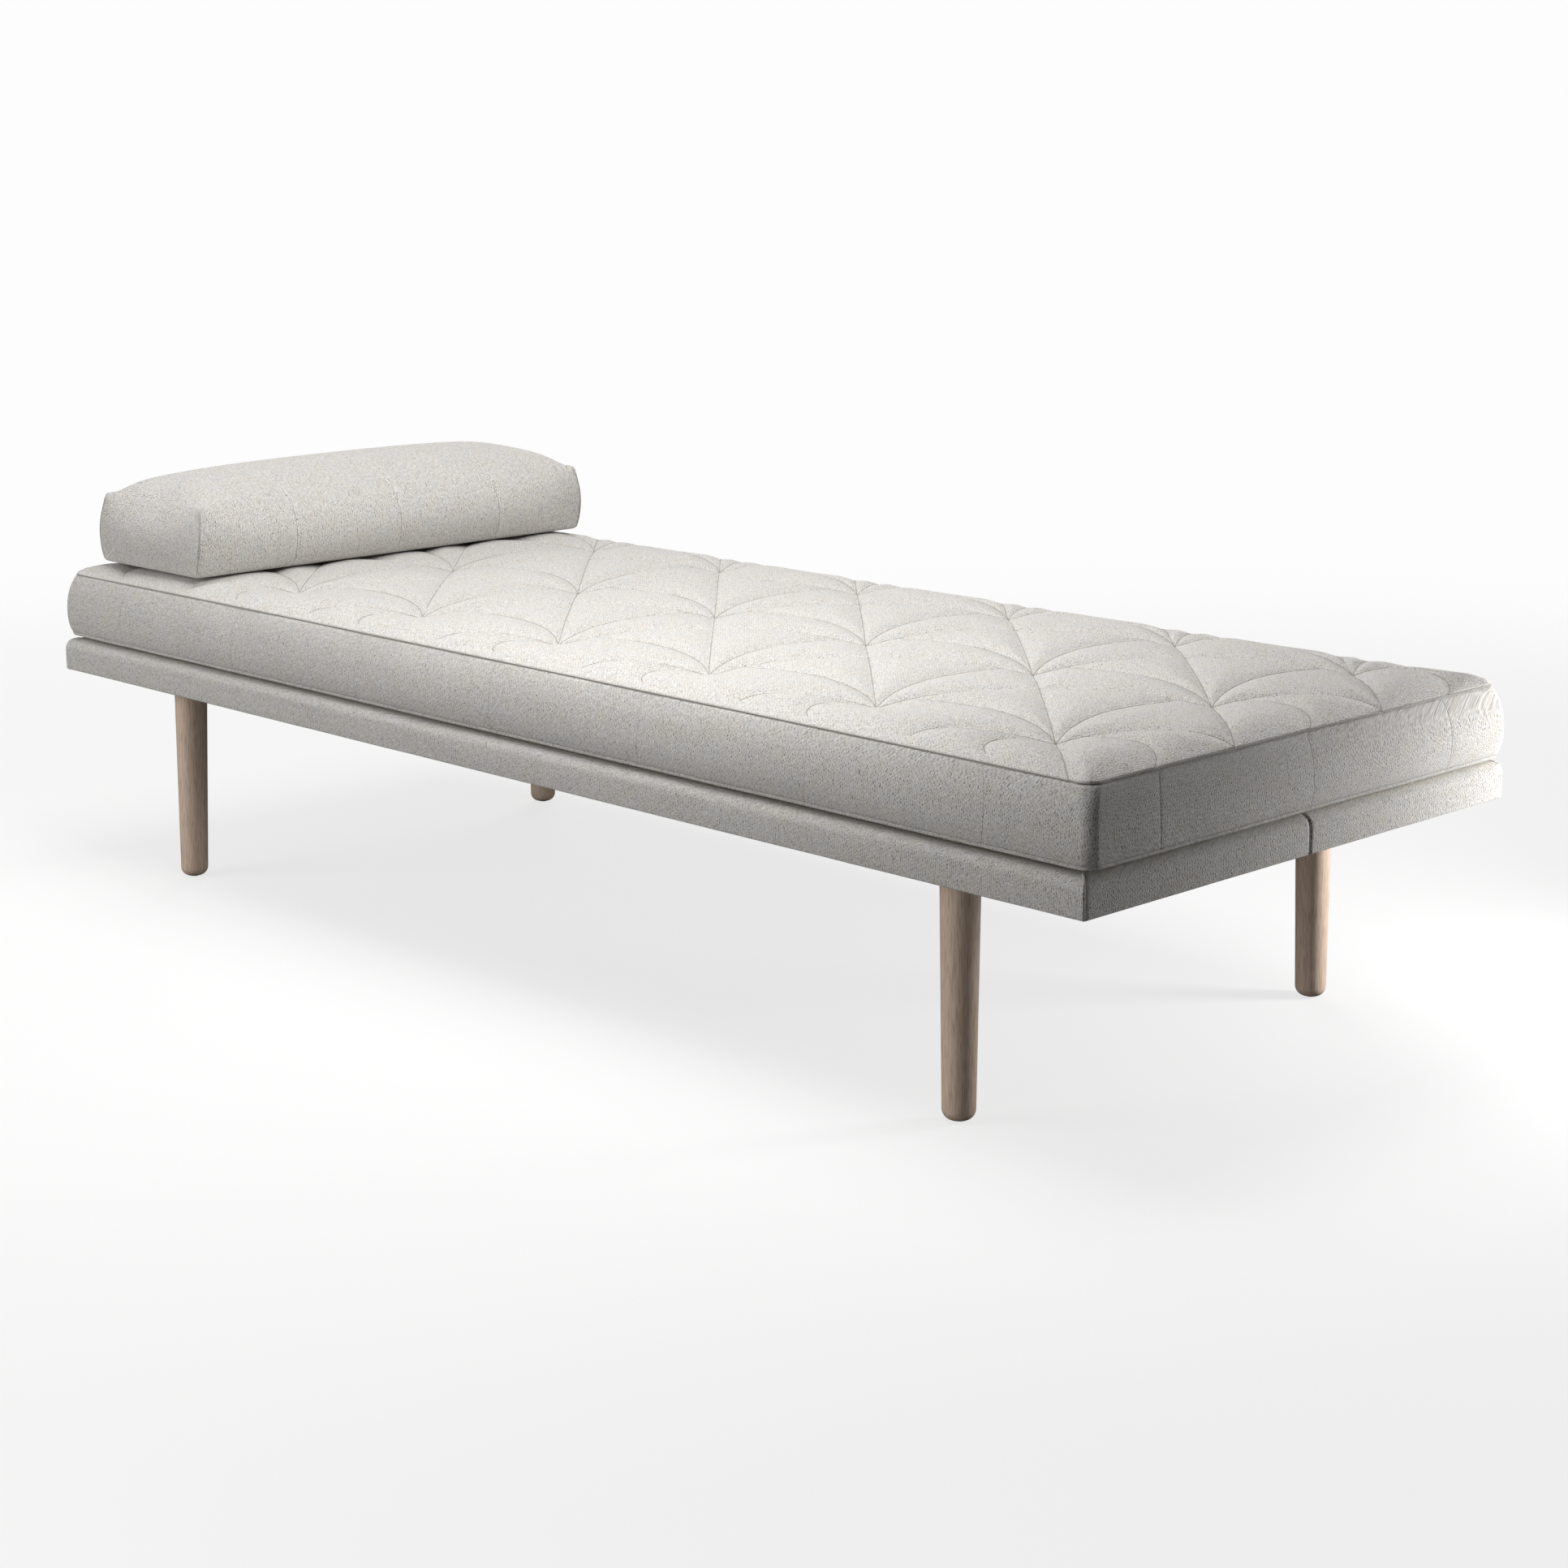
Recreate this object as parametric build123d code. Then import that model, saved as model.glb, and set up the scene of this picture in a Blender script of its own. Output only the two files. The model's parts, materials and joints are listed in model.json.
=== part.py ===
from build123d import *
import os

# Daybed: a thin upholstered platform on four turned wooden legs, a quilted mattress that lies
# loose on it, and a box bolster that lies loose across the head end of the mattress.
# Millimetres. X runs along the bed with the bolster at -X, Y across it, Z up.
# The origin is on the floor under the middle of the bed.

# ---- driving dimensions: platform -------------------------------------------------------
base_length = 2040.0
base_width = 830.0
base_thickness = 48.0
floor_gap = 296.0               # floor to the underside of the platform
cloth = 2.0                     # upholstery cloth with its backing
base_padding = 4.0              # wadding between the frame and the cloth
base_edge_radius = 15.0         # rounded top edge of the platform
base_corner_radius = 4.0        # upright corners of the platform
deck_thickness = 6.0            # plywood
rail_width = 30.0
cross_rail_count = 5
hem_width = 28.0                # cloth turned under the frame
dust_cover_thickness = 1.0
dust_cover_gap = 2.0            # dust cover to hem, all round
frame_corner_radius = 1.0
gusset_leg = 90.0               # corner gussets, along each rail

# ---- driving dimensions: legs -----------------------------------------------------------
leg_inset_x = 239.5             # end of the platform to a leg's axis
leg_inset_y = 67.5              # side of the platform to a leg's axis
leg_top_diameter = 49.0
leg_foot_diameter = 40.5
leg_end_radius = 13.0           # rounded foot end
leg_block_length = 120.0
leg_hole_margin = 2.0           # dust cover to leg, all round
glide_diameter = 13.0
glide_thickness = 1.0

# ---- driving dimensions: fasteners ------------------------------------------------------
bolt_diameter = 8.0
bolt_in_leg = 38.0
bolt_end_gap = 3.0              # bolt tips to what lies beyond them
thread_gap = 0.1                # bolt or screw to its hole, on the radius
nut_barrel_diameter = 11.0
nut_barrel_length = 12.0
nut_flange_diameter = 22.0
nut_flange_thickness = 1.6
screw_diameter = 4.5
screw_head_diameter = 8.5
screw_head_height = 3.5
screw_length = 65.0
staple_width = 10.0
staple_thickness = 0.8
staple_spacing = 120.0

# ---- driving dimensions: mattress -------------------------------------------------------
mattress_inset_x = 4.0          # end of the platform to the mattress's top seam
mattress_inset_y = 12.0         # side of the platform to the mattress's top seam
mattress_side_height = 100.0
mattress_crown = 21.0           # middle of the top above its seam
mattress_blend = 110.0          # from the seam in to where the top is level
side_bulge = 11.0               # sides beyond the seams
mattress_corner_radius = 22.0
ticking = 3.0                   # side band and bottom panel
mattress_wadding = 12.0         # under the quilted top
quilt_thickness = 10.0
welt_diameter = 3.0
rest_gap = 0.5                  # a loose piece above what it lies on

# ---- driving dimensions: bolster --------------------------------------------------------
bolster_inset = 19.0            # side seam of the mattress to the bolster's end
bolster_depth = 272.0
bolster_side_height = 110.0
bolster_crown = 40.0
bolster_blend_depth = 100.0
bolster_blend_length = 120.0
bolster_head_inset = 36.0       # head seam of the mattress to the bolster's back
bolster_cloth = 2.0
zip_width = 8.0
zip_thickness = 1.5
zip_end_gap = 60.0

# ---- levels and places that follow from them --------------------------------------------
base_bottom = floor_gap
base_top = base_bottom + base_thickness
frame_bottom = base_bottom + cloth
frame_top = base_top - cloth - base_padding
deck_bottom = frame_top - deck_thickness
rail_height = deck_bottom - frame_bottom
frame_length = base_length - 2 * (cloth + base_padding)
frame_width = base_width - 2 * (cloth + base_padding)
rail_inner_y = frame_width / 2 - rail_width
rail_inner_x = frame_length / 2 - rail_width
leg_x = base_length / 2 - leg_inset_x
leg_y = base_width / 2 - leg_inset_y
leg_block_width = 2 * (rail_inner_y - leg_y)
cross_rail_x = leg_x - leg_block_length / 2 - rail_width / 2
mattress_length = base_length - 2 * mattress_inset_x
mattress_width = base_width - 2 * mattress_inset_y
mattress_bottom = base_top + rest_gap
seam_level = mattress_bottom + mattress_side_height
mattress_top = seam_level + mattress_crown
bolster_length = mattress_width - 2 * bolster_inset
bolster_bottom = mattress_top + rest_gap
bolster_x = -mattress_length / 2 + bolster_head_inset + bolster_depth / 2
bolster_height = bolster_side_height + bolster_crown

corners = {
    "front_head": (-1, -1),
    "front_foot": (1, -1),
    "back_head": (-1, 1),
    "back_foot": (1, 1),
}
on_floor = (Align.CENTER, Align.CENTER, Align.MIN)


# ---- shapes used by several pieces ------------------------------------------------------
def block(length, width, height, x=0.0, y=0.0, z=0.0):
    """A box centred on x, y, standing on level z."""
    return Pos(x, y, z) * Box(length, width, height, align=on_floor)


def rod(diameter, length, x=0.0, y=0.0, z=0.0):
    """An upright cylinder standing on level z."""
    return Pos(x, y, z) * Cylinder(diameter / 2, length, align=on_floor)


def round_block(length, width, height, corner_radius, top_radius=0.0, bottom_radius=0.0, z=0.0):
    """A block with rounded upright corners and, where asked, rounded top or bottom edges."""
    body = block(length, width, height, z=z)
    body = fillet(body.edges().filter_by(Axis.Z), corner_radius)
    if top_radius > 0:
        body = fillet(body.faces().sort_by(Axis.Z)[-1].edges(), top_radius)
    if bottom_radius > 0:
        body = fillet(body.faces().sort_by(Axis.Z)[0].edges(), bottom_radius)
    return body


def crown_profile(plane, span, side_height, crown, blend):
    """Side view of a crowned pad: upright sides, then an arc that is level at the top."""
    radius = (blend**2 + crown**2) / (2 * crown)
    half = span / 2
    top = side_height + crown
    inner = half - blend
    rise = radius - (radius**2 - (blend / 2) ** 2) ** 0.5
    left = [(-half, side_height), (-half + blend / 2, top - rise), (-inner, top)]
    right = [(inner, top), (half - blend / 2, top - rise), (half, side_height)]
    outline = [
        Line((-half, 0), (-half, side_height)),
        ThreePointArc(*left),
        Line((-inner, top), (inner, top)),
        ThreePointArc(*right),
        Line((half, side_height), (half, 0)),
        Line((half, 0), (-half, 0)),
    ]
    return plane * make_face(outline)


def crowned_block(length, width, side_height, crown, blend_x, blend_y, z=0.0):
    """A pad whose top is domed towards all four sides: two crowned prisms intersected."""
    along_y = extrude(crown_profile(Plane.XZ, length, side_height, crown, blend_x), width / 2, both=True)
    along_x = extrude(crown_profile(Plane.YZ, width, side_height, crown, blend_y), length / 2, both=True)
    return Pos(0, 0, z) * (along_y & along_x)


# ---- platform frame ---------------------------------------------------------------------
def frame_form():
    """Outer form of frame and deck together, its top edges eased so that the cloth lies round."""
    eased = base_edge_radius - cloth - base_padding
    height = frame_top - frame_bottom
    corner = frame_corner_radius
    return round_block(frame_length, frame_width, height, corner, top_radius=eased, z=frame_bottom)


def cross_rail_places():
    """X of each cross rail, evenly spaced between the leg blocks."""
    step = 2 * cross_rail_x / (cross_rail_count - 1)
    return [-cross_rail_x + step * i for i in range(cross_rail_count)]


def at_screw_places(screw):
    """Copies of an upright screw at every joint, lying level at mid height of the rails: through
    the end rails into the side rails, and through the side rails into the cross rails."""
    z = frame_bottom + rail_height / 2
    placed = []
    for sx, sy in corners.values():
        y = sy * (frame_width / 2 - rail_width / 2)
        placed.append(Pos(sx * frame_length / 2, y, z) * Rot(0, -90 * sx, 0) * screw)
    for x in cross_rail_places():
        for side in (-1, 1):
            placed.append(Pos(x, side * frame_width / 2, z) * Rot(90 * side, 0, 0) * screw)
    return placed


def screw_form(gap):
    """A screw standing on its head, grown by gap all round and at both ends."""
    shank = Cylinder(screw_diameter / 2 + gap, screw_length + gap, align=on_floor)
    head = Cylinder(screw_head_diameter / 2 + gap, screw_head_height + gap, align=on_floor)
    return shank + head


def drilled(rail, holes):
    """A rail with the screw holes that reach it."""
    box = rail.bounding_box()
    for hole in holes:
        other = hole.bounding_box()
        apart_x = other.max.X < box.min.X or other.min.X > box.max.X
        apart_y = other.max.Y < box.min.Y or other.min.Y > box.max.Y
        if not (apart_x or apart_y):
            rail = rail - hole
    return rail


def frame_parts():
    """Side, end and cross rails, drilled for their screws."""
    holes = at_screw_places(screw_form(thread_gap))
    form = frame_form()
    side_length = frame_length - 2 * rail_width
    side_y = frame_width / 2 - rail_width / 2
    end_x = frame_length / 2 - rail_width / 2
    parts = {}
    for name, side in (("front", -1), ("back", 1)):
        rail = block(side_length, rail_width, rail_height, y=side * side_y, z=frame_bottom)
        parts[f"side_rail_{name}"] = drilled(rail & form, holes)
    for name, side in (("head", -1), ("foot", 1)):
        rail = block(rail_width, frame_width, rail_height, x=side * end_x, z=frame_bottom)
        parts[f"end_rail_{name}"] = drilled(rail & form, holes)
    for number, x in enumerate(cross_rail_places(), start=1):
        rail = block(rail_width, 2 * rail_inner_y, rail_height, x=x, z=frame_bottom)
        parts[f"cross_rail_{number}"] = drilled(rail, holes)
    return parts


def corner_gussets():
    """Triangular glue blocks in the four inner corners of the frame."""
    pieces = []
    for sx, sy in corners.values():
        cx = sx * rail_inner_x
        cy = sy * rail_inner_y
        outline = Polyline((cx, cy), (cx - sx * gusset_leg, cy), (cx, cy - sy * gusset_leg), close=True)
        pieces.append(Pos(0, 0, frame_bottom) * extrude(make_face(outline), rail_height, dir=(0, 0, 1)))
    return Compound(children=pieces)


def leg_block(sx, sy):
    """Hardwood block over a leg, bored for the leg's bolt and its nut."""
    x = sx * leg_x
    y = sy * leg_y
    body = block(leg_block_length, leg_block_width, rail_height, x, y, frame_bottom)
    bolt_hole = rod(bolt_diameter + 4 * thread_gap, rail_height, x, y, frame_bottom)
    barrel_bottom = deck_bottom - nut_barrel_length
    flange_bottom = deck_bottom - nut_flange_thickness
    barrel_room = rod(nut_barrel_diameter + 2 * thread_gap, nut_barrel_length, x, y, barrel_bottom)
    flange_room = rod(nut_flange_diameter + 2 * thread_gap, nut_flange_thickness, x, y, flange_bottom)
    return body - bolt_hole - barrel_room - flange_room


def leg_nuts():
    """Flanged threaded nuts let into the tops of the leg blocks."""
    barrel = rod(nut_barrel_diameter, nut_barrel_length, z=deck_bottom - nut_barrel_length)
    flange = rod(nut_flange_diameter, nut_flange_thickness, z=deck_bottom - nut_flange_thickness)
    bore = rod(bolt_diameter + 2 * thread_gap, nut_barrel_length, z=deck_bottom - nut_barrel_length)
    nut = barrel + flange - bore
    return Compound(children=[Pos(sx * leg_x, sy * leg_y, 0) * nut for sx, sy in corners.values()])


def leg_bolts():
    """Double-ended bolts, one end in the leg and the other in the nut."""
    length = bolt_in_leg + rail_height - bolt_end_gap
    pieces = []
    for sx, sy in corners.values():
        pieces.append(rod(bolt_diameter, length, sx * leg_x, sy * leg_y, frame_bottom - bolt_in_leg))
    return Compound(children=pieces)


def leg(sx, sy):
    """A turned leg: straight taper with a rounded foot end, bored for its bolt."""
    foot = leg_foot_diameter / 2
    top = leg_top_diameter / 2
    outline = Polyline(
        (0, glide_thickness),
        (foot, glide_thickness),
        (top, frame_bottom),
        (0, frame_bottom),
        close=True,
    )
    turned = revolve(Plane.XZ * make_face(outline), Axis.Z)
    foot_edge = turned.edges().filter_by(GeomType.CIRCLE).sort_by(Axis.Z)[0]
    turned = fillet(foot_edge, leg_end_radius)
    depth = bolt_in_leg + bolt_end_gap
    bored = turned - rod(bolt_diameter + 2 * thread_gap, depth, z=frame_bottom - depth)
    return Pos(sx * leg_x, sy * leg_y, 0) * bored


def leg_glides():
    """Felt discs under the feet."""
    pieces = [rod(glide_diameter, glide_thickness, sx * leg_x, sy * leg_y) for sx, sy in corners.values()]
    return Compound(children=pieces)


# ---- platform upholstery ----------------------------------------------------------------
def platform_block(inset):
    """The platform's outer form, moved in by inset on every side."""
    corner = max(base_corner_radius - inset, 1.0)
    top = base_edge_radius - inset
    return round_block(
        base_length - 2 * inset,
        base_width - 2 * inset,
        base_thickness - 2 * inset,
        corner,
        top_radius=top,
        z=base_bottom + inset,
    )


def base_covers():
    """Cloth over the platform, in a front and a back half that meet on the centre line."""
    opening_length = base_length - 2 * hem_width
    opening_width = base_width - 2 * hem_width
    opening = block(opening_length, opening_width, cloth, z=base_bottom)
    shell = platform_block(0.0) - platform_block(cloth) - opening
    halves = {}
    for name, side in (("front", -1), ("back", 1)):
        half = block(2 * base_length, base_width, 2 * base_top, y=side * base_width / 2)
        halves[f"base_cover_{name}"] = shell & half
    return halves


def base_wadding():
    """Wadding over the deck and down the outside of the frame."""
    return platform_block(cloth) - frame_form()


def dust_cover():
    """Thin cloth closing the underside, inside the hem and round the legs."""
    length = base_length - 2 * (hem_width + dust_cover_gap)
    width = base_width - 2 * (hem_width + dust_cover_gap)
    sheet = block(length, width, dust_cover_thickness, z=frame_bottom - dust_cover_thickness)
    for sx, sy in corners.values():
        hole = rod(leg_top_diameter + 2 * leg_hole_margin, cloth, sx * leg_x, sy * leg_y, base_bottom)
        sheet = sheet - hole
    return sheet


def evenly(span, spacing):
    """Places centred on zero, about spacing apart, inside span."""
    count = int(span // spacing)
    return [(i - count / 2) * spacing for i in range(count + 1)]


def hem_staples():
    """Staple crowns along the hem, under all four rails."""
    z = base_bottom - staple_thickness
    row_x = base_length / 2 - hem_width / 2
    row_y = base_width / 2 - hem_width / 2
    pieces = []
    for x in evenly(base_length - 4 * hem_width, staple_spacing):
        for side in (-1, 1):
            pieces.append(block(staple_width, staple_thickness, staple_thickness, x, side * row_y, z))
    for y in evenly(base_width - 4 * hem_width, staple_spacing):
        for side in (-1, 1):
            pieces.append(block(staple_thickness, staple_width, staple_thickness, side * row_x, y, z))
    return Compound(children=pieces)


# ---- mattress ---------------------------------------------------------------------------
def welt(level):
    """Piping all round the mattress on a seam at the given level."""
    path = Pos(0, 0, level) * RectangleRounded(mattress_length, mattress_width, mattress_corner_radius)
    wire = path.wires()[0]
    section = Plane(origin=wire.position_at(0), z_dir=wire.tangent_at(0)) * Circle(welt_diameter / 2)
    return sweep(section, path=wire)


def mattress_parts():
    """Foam core, wadding, quilted top, side band, bottom panel and the welt on the top seam."""
    band_length = mattress_length + 2 * side_bulge
    band_width = mattress_width + 2 * side_bulge
    core_length = mattress_length - 2 * ticking
    core_width = mattress_width - 2 * ticking
    top_welt = welt(seam_level)
    core_corner = mattress_corner_radius - ticking
    core_bottom = mattress_bottom + ticking
    core_height = seam_level - quilt_thickness - mattress_wadding - core_bottom
    hollow = round_block(core_length, core_width, mattress_side_height, core_corner, z=mattress_bottom)
    band = round_block(
        band_length,
        band_width,
        mattress_side_height,
        mattress_corner_radius + side_bulge,
        top_radius=side_bulge,
        bottom_radius=side_bulge,
        z=mattress_bottom,
    )
    core = round_block(core_length, core_width, core_height, core_corner, z=core_bottom)
    quilt_outer = crowned_block(
        mattress_length,
        mattress_width,
        quilt_thickness,
        mattress_crown,
        mattress_blend,
        mattress_blend,
        z=seam_level - quilt_thickness,
    )
    core_top = core_bottom + core_height
    trim_height = mattress_top - core_top
    quilt = quilt_outer & round_block(core_length, core_width, trim_height, core_corner, z=core_top)
    wadding = round_block(core_length, core_width, mattress_wadding, core_corner, z=core_top)
    bottom = round_block(core_length, core_width, ticking, core_corner, z=mattress_bottom)
    return {
        "mattress_core": core,
        "mattress_wadding": wadding,
        "mattress_quilted_top": quilt,
        "mattress_side_band": band - hollow - top_welt,
        "mattress_bottom_panel": bottom,
        "mattress_top_welt": top_welt,
    }


# ---- bolster ----------------------------------------------------------------------------
def bolster_block(inset):
    """The bolster's crowned box, moved in by inset on every side."""
    body = crowned_block(
        bolster_depth - 2 * inset,
        bolster_length - 2 * inset,
        bolster_side_height - inset,
        bolster_crown - inset,
        bolster_blend_depth - inset,
        bolster_blend_length - inset,
        z=bolster_bottom + inset,
    )
    return Pos(bolster_x, 0, 0) * body


def bolster_parts():
    """Foam core, the cover over it, the panel under it and the zip between those two."""
    outer = bolster_block(0.0)
    core = bolster_block(bolster_cloth)
    panel_depth = bolster_depth - 2 * bolster_cloth
    panel_length = bolster_length - 2 * bolster_cloth
    panel = block(panel_depth, panel_length, bolster_cloth, bolster_x, 0, bolster_bottom)
    zip_x = bolster_x - panel_depth / 2 + zip_width
    zip_length = panel_length - 2 * zip_end_gap
    zipper = block(zip_width, zip_length, zip_thickness, zip_x, 0, bolster_bottom)
    return {
        "bolster_core": core,
        "bolster_cover": outer - core - panel,
        "bolster_bottom_panel": panel - zipper,
        "bolster_zip": zipper,
    }


# ---- the whole daybed -------------------------------------------------------------------
def build():
    """Every node by name."""
    nodes = {}
    nodes.update(frame_parts())
    nodes["corner_gussets"] = corner_gussets()
    nodes["frame_screws"] = Compound(children=at_screw_places(screw_form(0.0)))
    nodes["deck_panel"] = block(frame_length, frame_width, deck_thickness, z=deck_bottom) & frame_form()
    nodes["base_wadding"] = base_wadding()
    nodes.update(base_covers())
    nodes["dust_cover"] = dust_cover()
    nodes["hem_staples"] = hem_staples()
    for name, (sx, sy) in corners.items():
        nodes[f"leg_block_{name}"] = leg_block(sx, sy)
        nodes[f"leg_{name}"] = leg(sx, sy)
    nodes["leg_nuts"] = leg_nuts()
    nodes["leg_bolts"] = leg_bolts()
    nodes["leg_glides"] = leg_glides()
    nodes.update(mattress_parts())
    nodes.update(bolster_parts())
    return nodes


os.makedirs("parts", exist_ok=True)
for node_name, shape in build().items():
    export_step(shape, f"parts/{node_name}.step")
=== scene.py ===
import json
import math

import bmesh
import bpy
import numpy as np
from mathutils.bvhtree import BVHTree
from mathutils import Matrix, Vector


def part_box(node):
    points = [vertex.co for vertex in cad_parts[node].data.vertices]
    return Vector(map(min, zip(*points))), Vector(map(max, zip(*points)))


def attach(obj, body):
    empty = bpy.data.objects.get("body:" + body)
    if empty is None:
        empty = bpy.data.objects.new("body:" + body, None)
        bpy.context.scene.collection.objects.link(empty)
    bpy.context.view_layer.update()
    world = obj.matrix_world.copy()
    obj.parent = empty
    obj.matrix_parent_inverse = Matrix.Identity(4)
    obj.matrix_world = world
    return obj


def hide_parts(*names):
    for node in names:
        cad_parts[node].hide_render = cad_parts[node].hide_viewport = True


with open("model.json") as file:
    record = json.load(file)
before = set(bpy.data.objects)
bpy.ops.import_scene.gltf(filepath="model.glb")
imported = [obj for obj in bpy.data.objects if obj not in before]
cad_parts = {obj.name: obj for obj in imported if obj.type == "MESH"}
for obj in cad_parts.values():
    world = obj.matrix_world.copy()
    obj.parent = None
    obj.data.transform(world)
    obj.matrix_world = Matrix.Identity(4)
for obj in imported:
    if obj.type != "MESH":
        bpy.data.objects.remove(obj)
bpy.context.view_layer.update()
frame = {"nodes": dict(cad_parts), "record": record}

MM = 0.001
SEED = 7

# ---- places read from the frame (metres) ----
cover_low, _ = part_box("base_cover_front")
_, cover_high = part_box("base_cover_back")
dust_low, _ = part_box("dust_cover")
BASE_X, BASE_Y = cover_high.x, cover_high.y
BASE_BOTTOM, BASE_TOP = cover_low.z, cover_high.z
HEM = dust_low.x + BASE_X             # hem and its gap, from the platform's edge inwards

band_low, band_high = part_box("mattress_side_band")
welt_low, welt_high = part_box("mattress_top_welt")
WELT_R = (welt_high.z - welt_low.z) / 2
SEAM_X, SEAM_Y = welt_high.x - WELT_R, welt_high.y - WELT_R
BULGE = band_high.x - SEAM_X
MATTRESS_BOTTOM, SEAM_Z = band_low.z, band_high.z

bolster_low, bolster_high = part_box("bolster_cover")


# ---- mesh helpers ----
def grid_faces(rows, cols):
    """Quads of a rows x cols grid of points, wound so that (along cols) x (along rows) is out."""
    i, j = np.meshgrid(np.arange(rows - 1), np.arange(cols - 1), indexing="ij")
    a = (i * cols + j).ravel()
    return np.stack([a, a + 1, a + cols + 1, a + cols], 1)


def new_mesh(name, points, *face_sets):
    """A smooth-shaded mesh. Each set of faces holds one row of point numbers for each face."""
    sizes = np.concatenate([np.full(len(faces), faces.shape[1]) for faces in face_sets])
    corners = np.concatenate([faces.ravel() for faces in face_sets])
    mesh = bpy.data.meshes.new(name)
    mesh.vertices.add(len(points))
    mesh.vertices.foreach_set("co", points.ravel())
    mesh.loops.add(len(corners))
    mesh.loops.foreach_set("vertex_index", corners)
    mesh.polygons.add(len(sizes))
    mesh.polygons.foreach_set("loop_start", np.cumsum(sizes) - sizes)
    mesh.update(calc_edges=True)
    mesh.polygons.foreach_set("use_smooth", np.full(len(sizes), True))
    return mesh


def put_in_scene(name, data):
    """A new object that holds the data, linked to the scene."""
    made = bpy.data.objects.new(name, data)
    bpy.context.scene.collection.objects.link(made)
    return made


def mesh_piece(name, patches, merge=0.02 * MM):
    """One object from grid patches. A patch is (points, uv), each rows x cols x 3 or 2; patches
    that share an edge are joined there by merging points closer than merge."""
    verts, faces, uvs, start = [], [], [], 0
    for points, uv in patches:
        rows, cols = points.shape[:2]
        quads = grid_faces(rows, cols)
        verts.append(points.reshape(-1, 3))
        faces.append(quads + start)
        uvs.append(uv.reshape(-1, 2)[quads.ravel()])
        start += rows * cols
    mesh = new_mesh(name, np.concatenate(verts), np.concatenate(faces))
    mesh.uv_layers.new(name="cloth").data.foreach_set("uv", np.concatenate(uvs).ravel())
    bm = bmesh.new()
    bm.from_mesh(mesh)
    bmesh.ops.remove_doubles(bm, verts=bm.verts, dist=merge)
    bmesh.ops.dissolve_degenerate(bm, edges=bm.edges, dist=merge)
    bm.to_mesh(mesh)
    bm.free()
    mesh.update()
    return put_in_scene(name, mesh)


def points_of(mesh):
    """The places of a mesh's points, one row each."""
    flat = np.empty(len(mesh.vertices) * 3)
    mesh.vertices.foreach_get("co", flat)
    return flat.reshape(-1, 3)


def move_points(mesh, points):
    """Puts a mesh's points at new places."""
    mesh.vertices.foreach_set("co", points.ravel())
    mesh.update()


def edge_ends(mesh):
    """The numbers of the two points of each edge."""
    ends = np.empty(len(mesh.edges) * 2, int)
    mesh.edges.foreach_get("vertices", ends)
    return ends.reshape(-1, 2)


def outline(along_x, along_y, corner_steps, half=False):
    """A rounded rectangle as four arrays fx, fy, cx, cy over its points, anticlockwise from the
    middle of its -X side. For half sizes a, b and corner radius r the points are
    (fx (a - r) + r cx, fy (b - r) + r cy), and (cx, cy) is the outward normal.
    along_x and along_y are the fractions, 0 to 1, from a side's middle to its corner."""
    turn = np.linspace(0, math.pi / 2, corner_steps + 1)[1:-1]
    full_x = np.concatenate([-along_x[::-1], along_x[1:]])
    quarter = [
        (-1, -along_y, -1, 0),
        (-1, -1, -np.cos(turn), -np.sin(turn)),
        (full_x, -1, 0, -1),
        (1, -1, np.sin(turn), -np.cos(turn)),
        (1, -along_y[::-1], 1, 0),
    ]
    runs = [np.broadcast_arrays(*run) for run in quarter]
    front = [np.concatenate(values) for values in zip(*runs)]
    if half:
        return front
    back = [-values[1:] for values in front]
    return [np.concatenate([f, b]) for f, b in zip(front, back)]


def rings(path, half_x, half_y, radius, height):
    """Points of a stack of rounded rectangles, one row for each entry of the size arrays."""
    fx, fy, cx, cy = path
    a, b, r, z = (np.asarray(v, float)[:, None] for v in (half_x, half_y, radius, height))
    x = fx * (a - r) + r * cx
    y = fy * (b - r) + r * cy
    return np.stack([x, y, np.broadcast_to(z, x.shape)], 2)


def run_lengths(points, axis):
    """Distance travelled along an axis of a grid of points, starting at zero."""
    steps = np.linalg.norm(np.diff(points, axis=axis), axis=2)
    return np.insert(np.cumsum(steps, axis=axis), 0, 0, axis=axis)


def travelled(path):
    """Distance travelled along a path of points, starting at zero."""
    return np.r_[0, np.cumsum(np.linalg.norm(np.diff(path, axis=0), axis=1))]


def smooth_noise(x, y, size, seed):
    """Soft random waves between about -1 and 1: eight sines of random heading, about size long."""
    rng = np.random.default_rng(seed)
    total = np.zeros(np.broadcast(x, y).shape)
    for _ in range(8):
        heading = rng.uniform(0, 2 * math.pi)
        length = size * rng.uniform(0.7, 1.6)
        phase = rng.uniform(0, 2 * math.pi)
        total += np.sin((x * math.cos(heading) + y * math.sin(heading)) * 2 * math.pi / length + phase)
    return total / 4


def bell(distance, width):
    """A bump that is 1 at distance 0 and has all but gone two widths away."""
    return np.exp(-((distance / width) ** 2))


# ---- materials ----
def linear(hex_colour):
    """sRGB hex to a linear RGBA tuple."""
    values = [int(hex_colour[i:i + 2], 16) / 255 for i in (0, 2, 4)]
    return tuple(v / 12.92 if v <= 0.04045 else ((v + 0.055) / 1.055) ** 2.4 for v in values) + (1.0,)


def new_material(name):
    """An empty node material and its node tree."""
    material = bpy.data.materials.new(name)
    material.use_nodes = True
    material.node_tree.nodes.clear()
    return material, material.node_tree


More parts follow.
